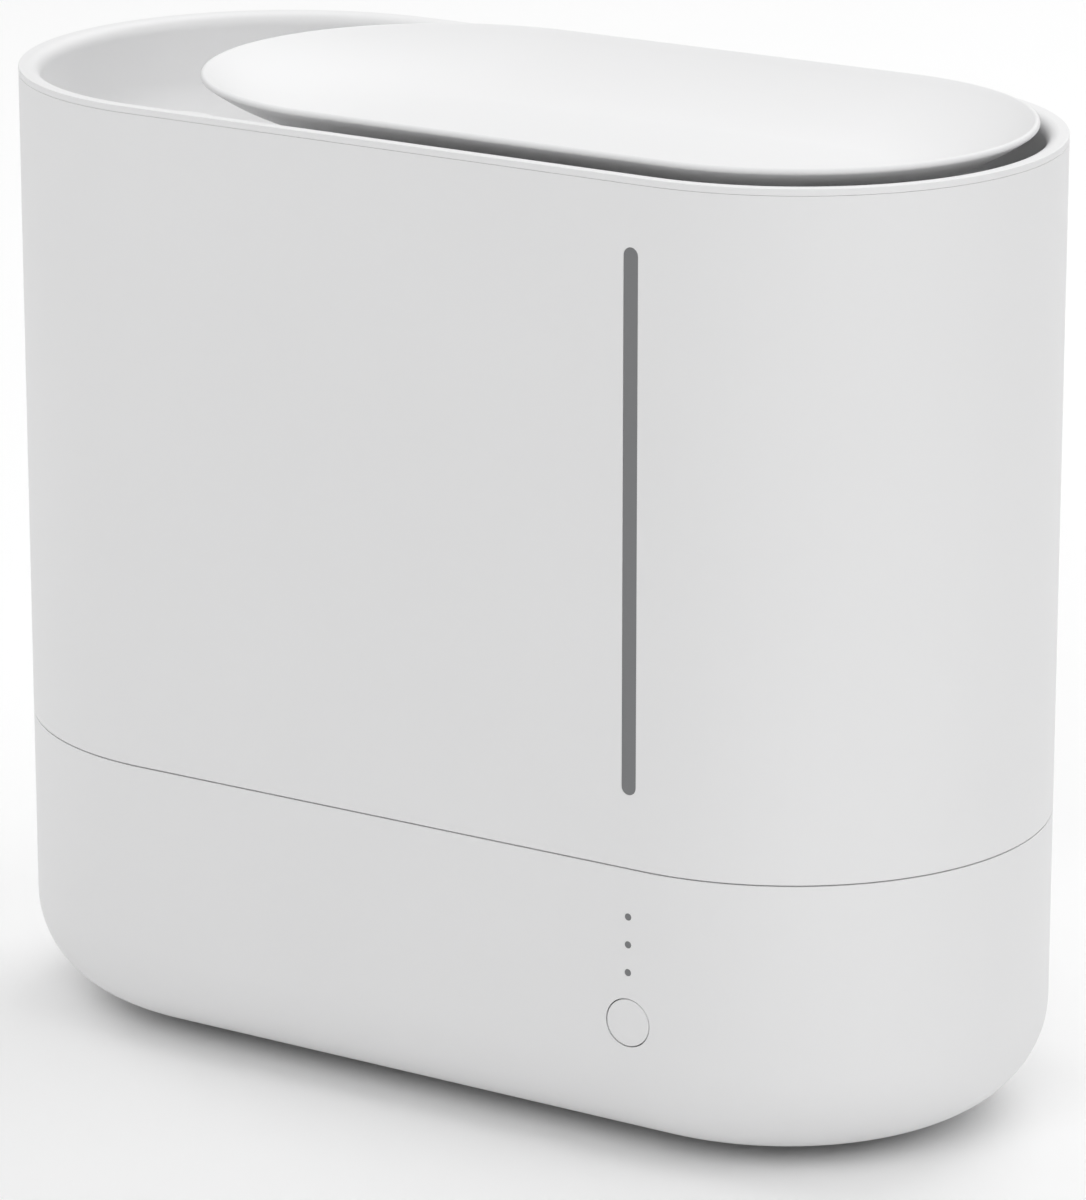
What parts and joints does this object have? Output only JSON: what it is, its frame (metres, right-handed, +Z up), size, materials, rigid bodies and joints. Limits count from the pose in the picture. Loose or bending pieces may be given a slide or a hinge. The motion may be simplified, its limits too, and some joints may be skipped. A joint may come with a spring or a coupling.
{
  "type": "cool mist humidifier",
  "caption": "Ultrasonic cool mist humidifier: obround body, lift-off tank with a level window, recessed cover with mist outlet and dish lid, front button and indicators.",
  "frame": {"origin": "on the ground, under the middle of the body", "axes": "+Z up, -Y out of the front with the button, +X towards the end with the front panel, -X towards the mist outlet"},
  "size_m": [0.255, 0.12, 0.2258],
  "materials": {
    "white_shell": "fine satin moulded",
    "inner_white": "satin moulded",
    "window_grey": "smooth translucent grey",
    "dark_rubber": "soft matt",
    "silicone": "soft satin",
    "screw_steel": "zinc plated",
    "clamp_steel": "pressed sheet",
    "piezo_brass": "electrode plated",
    "black_plastic": "fine textured",
    "foam": "open cell foam",
    "magnet": "sintered, dark",
    "winding": "enamelled copper",
    "circuit_board": "solder mask",
    "heat_sink": "extruded",
    "capacitor_sleeve": "shrink sleeve",
    "connector": "natural nylon",
    "reed_glass": "clear sleeve",
    "led_lens": "clear epoxy",
    "lead_black": "insulation",
    "lead_red": "insulation",
    "lead_grey": "insulation"
  },
  "bodies": {
    "base": {"base_housing": "white_shell", "bottom_cover": "inner_white", "bottom_screws": "screw_steel", "rubber_feet": "dark_rubber", "air_filter": "foam", "water_tray": "inner_white", "transducer_disc": "piezo_brass", "transducer_gasket": "dark_rubber", "transducer_clamp": "clamp_steel", "transducer_screws": "screw_steel", "float_clip": "inner_white", "fan_housing": "black_plastic", "fan_lid": "black_plastic", "fan_stator": "winding", "fan_bearing": "piezo_brass", "fan_screws": "screw_steel", "air_duct": "inner_white", "main_board": "circuit_board", "heat_sink": "heat_sink", "board_capacitors": "capacitor_sleeve", "board_coil": "winding", "board_connectors": "connector", "reed_switch": "reed_glass", "board_screws": "screw_steel", "control_board": "circuit_board", "control_screws": "screw_steel", "tact_switch": "black_plastic", "status_leds": "led_lens", "indicator_lenses": "window_grey", "dc_jack": "black_plastic", "fan_lead": "lead_black", "disc_lead": "lead_red", "power_lead": "lead_black", "control_lead": "lead_grey"},
    "button": {"power_button": "white_shell", "switch_plunger": "black_plastic"},
    "rotor": {"fan_rotor": "black_plastic", "fan_shaft": "screw_steel"},
    "float": {"float_ring": "inner_white", "float_magnet": "magnet"},
    "tank": {"tank_shell": "white_shell", "tank_floor": "inner_white", "mist_chimney": "inner_white", "chimney_seal": "silicone", "level_window": "window_grey", "valve_seat": "inner_white", "valve_cage": "inner_white", "valve_spring": "screw_steel"},
    "valve": {"valve_plunger": "inner_white", "valve_seal": "silicone"},
    "cover": {"top_cover": "white_shell"},
    "lid": {"lid_dish": "white_shell", "lid_skirt": "inner_white", "lid_seal": "silicone"}
  },
  "joints": [
    {"name": "power_button_press", "type": "slide", "parent": "base", "child": "button", "axis": [0, 1, 0], "range_m": [0, 0.0005], "stiffness_N_per_m": 3000},
    {"name": "fan_spin", "type": "hinge", "parent": "base", "child": "rotor", "pos_m": [-0.028, 0, 0.018], "axis": [0, 0, 1], "continuous": true},
    {"name": "float_rise", "type": "slide", "parent": "base", "child": "float", "axis": [0, 0, 1], "range_m": [0, 0.0095]},
    {"name": "tank_lift", "type": "slide", "parent": "base", "child": "tank", "axis": [0, 0, 1], "range_m": [0, 0.25]},
    {"name": "valve_shut", "type": "slide", "parent": "tank", "child": "valve", "axis": [0, 0, -1], "range_m": [0, 0.0039], "deforming": ["valve_spring"]},
    {"name": "cover_lift", "type": "slide", "parent": "tank", "child": "cover", "axis": [0, 0, 1], "range_m": [0, 0.08]},
    {"name": "lid_lift", "type": "slide", "parent": "cover", "child": "lid", "axis": [0, 0, 1], "range_m": [0, 0.06]}
  ],
  "couplings": [
    {"joint": "valve_shut", "follows": "tank_lift", "ratio": 0.0156}
  ]
}
